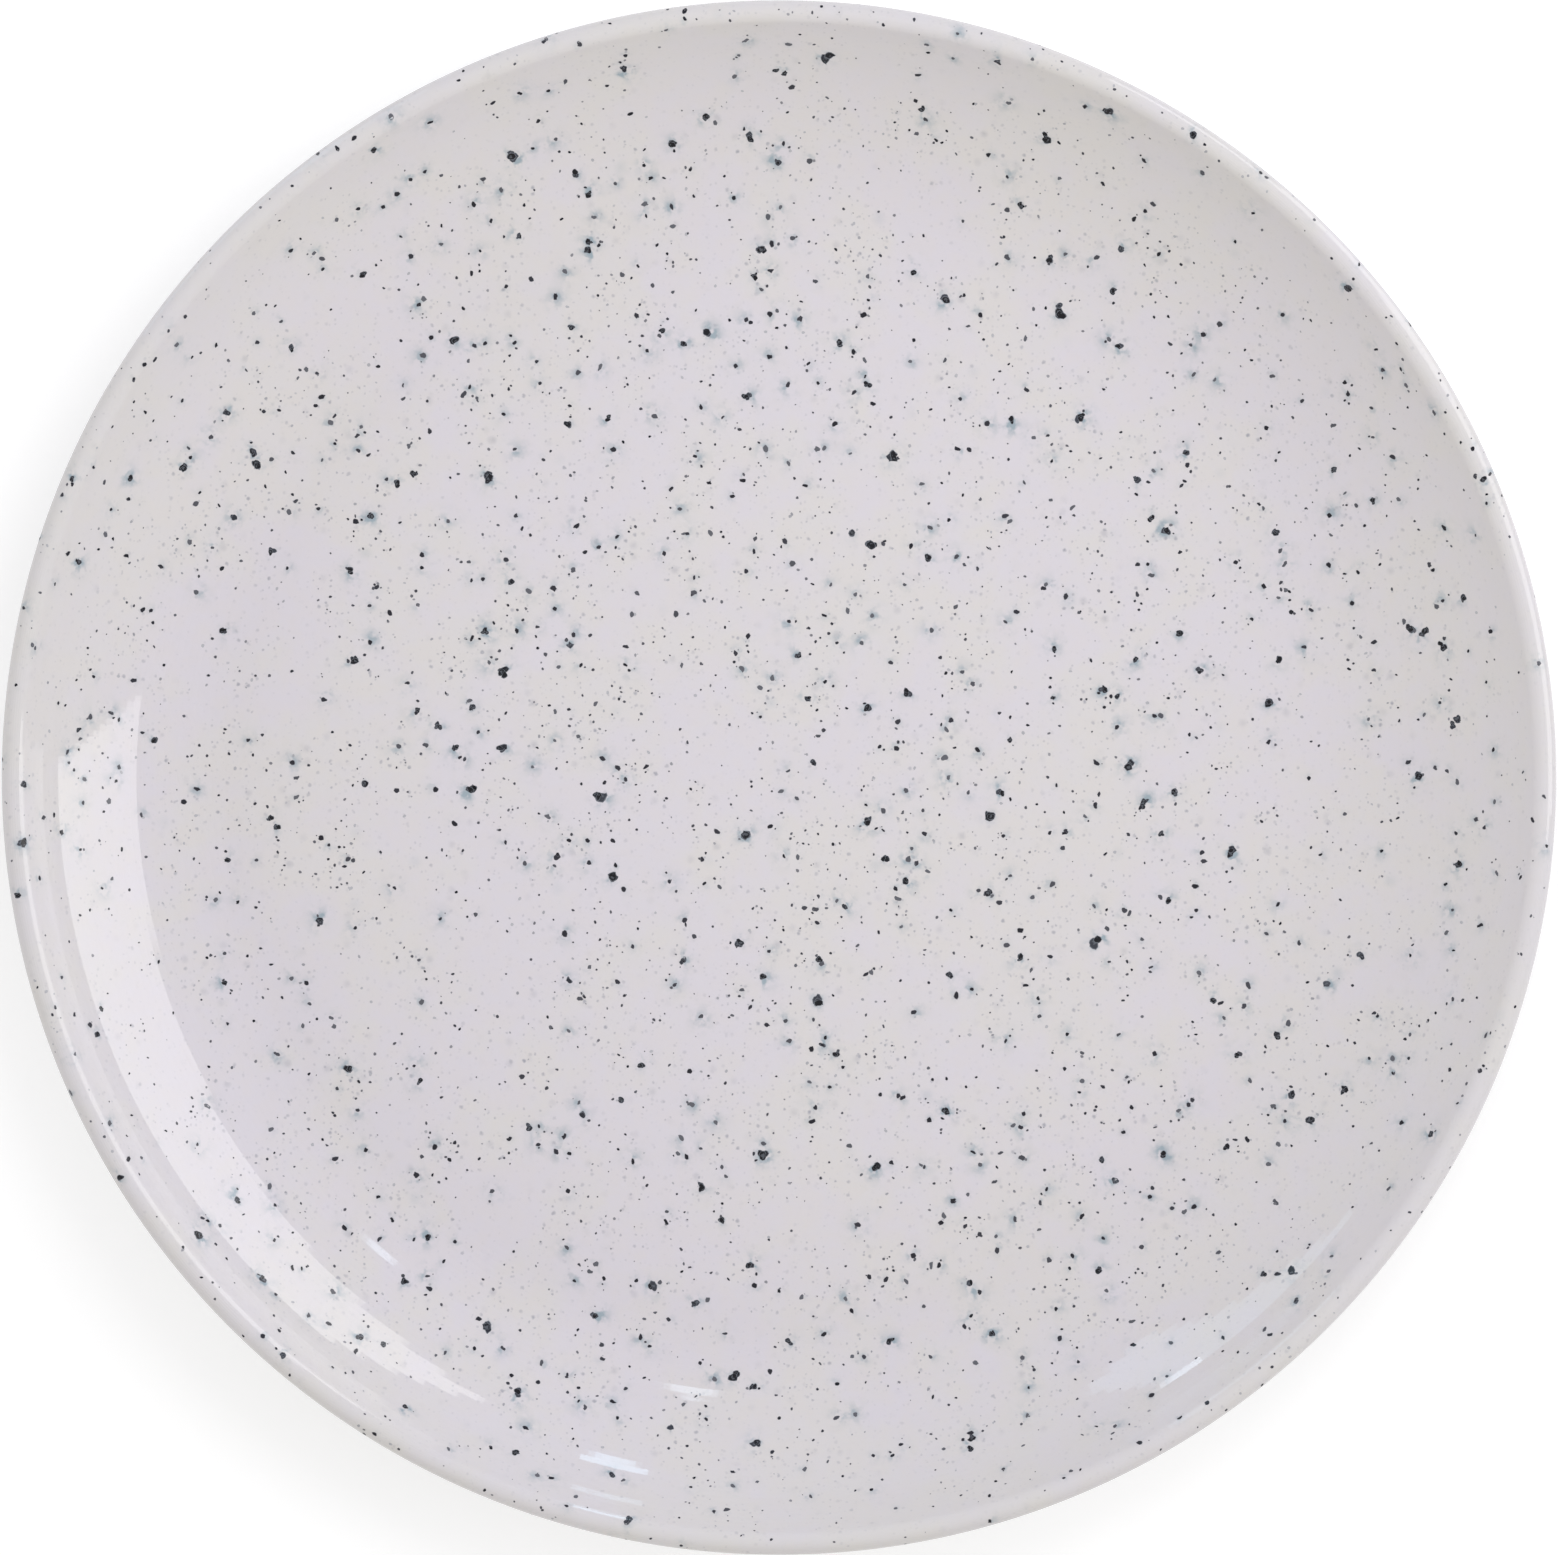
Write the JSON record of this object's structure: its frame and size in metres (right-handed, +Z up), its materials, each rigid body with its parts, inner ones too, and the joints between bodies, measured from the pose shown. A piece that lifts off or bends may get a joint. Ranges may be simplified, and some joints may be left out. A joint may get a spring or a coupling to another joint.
{
  "type": "coupe dinner plate",
  "caption": "Shallow coupe dinner plate: flat well, curved wall and full round lip on a bare clay foot ring, in a glossy pale glaze full of dark mineral specks.",
  "frame": {"origin": "on the table, under the centre of the plate", "axes": "+Z up along the plate's axis; X and Y are alike, because the plate is round"},
  "size_m": [0.27, 0.27, 0.0284],
  "materials": {
    "clay": "bare fired clay, matt",
    "face_glaze": "glossy pale glaze with soft bluish bleeds",
    "face_grain": "dark mineral grain under gloss",
    "back_glaze": "glossy pale glaze",
    "back_grain": "dark mineral grain under gloss",
    "base_glaze": "glossy pale glaze",
    "base_grain": "dark mineral grain under gloss"
  },
  "bodies": {
    "root": {"clay_body": "clay", "face_glaze": "face_glaze", "face_speckles": "face_grain", "back_glaze": "back_glaze", "back_speckles": "back_grain", "base_glaze": "base_glaze", "base_speckles": "base_grain"}
  },
  "joints": []
}
